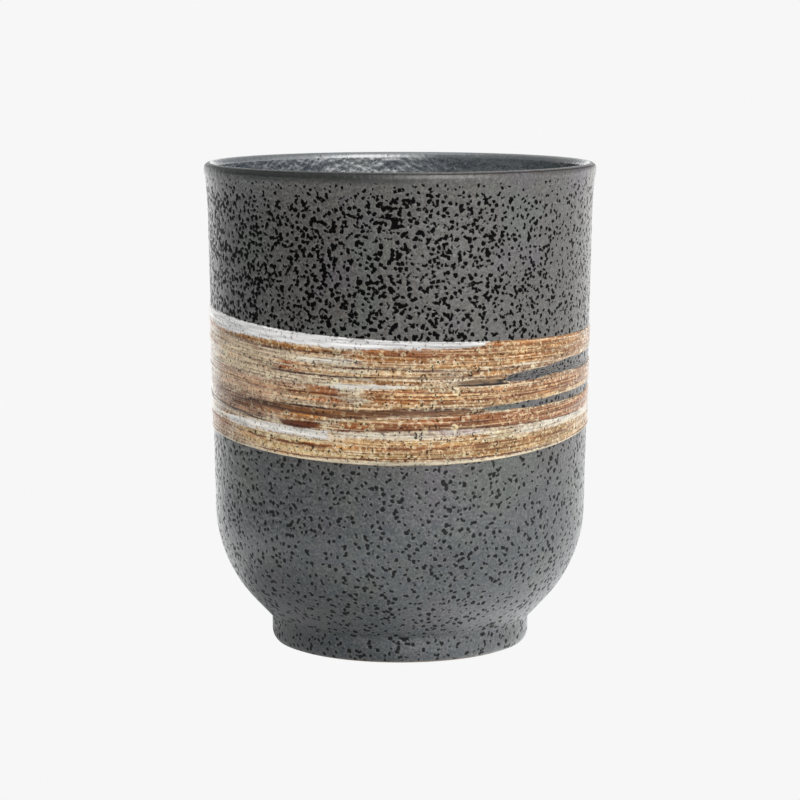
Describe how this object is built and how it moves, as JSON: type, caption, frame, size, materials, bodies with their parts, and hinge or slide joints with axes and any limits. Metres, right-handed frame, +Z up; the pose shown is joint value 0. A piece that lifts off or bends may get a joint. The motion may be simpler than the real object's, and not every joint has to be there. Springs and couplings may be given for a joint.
{
  "type": "tea cup",
  "caption": "Tall handle-less stoneware tea cup: leaning wall, rounded shoulder, turned foot ring, speckled dark glaze and a brushed white and brown band.",
  "frame": {"origin": "centre of the foot ring's contact face, on the table", "axes": "+Z up along the cup's axis, -Y towards the pictured front of the band"},
  "size_m": [0.076, 0.076, 0.094],
  "materials": {
    "fired_clay": "matt bare clay",
    "speckled_glaze": "satin dark grey glaze with black specks",
    "liner_glaze": "glossy blue-grey glaze with black specks",
    "white_slip": "satin brushed slip",
    "rust_oxide": "satin brushed oxide",
    "umber_oxide": "satin brushed oxide"
  },
  "bodies": {
    "root": {"stoneware_body": "fired_clay", "foot_ring": "fired_clay", "outer_glaze": "speckled_glaze", "liner_glaze": "liner_glaze", "foot_well_glaze": "speckled_glaze", "slip_band": "white_slip", "rust_strokes": "rust_oxide", "umber_strokes": "umber_oxide"}
  },
  "joints": []
}
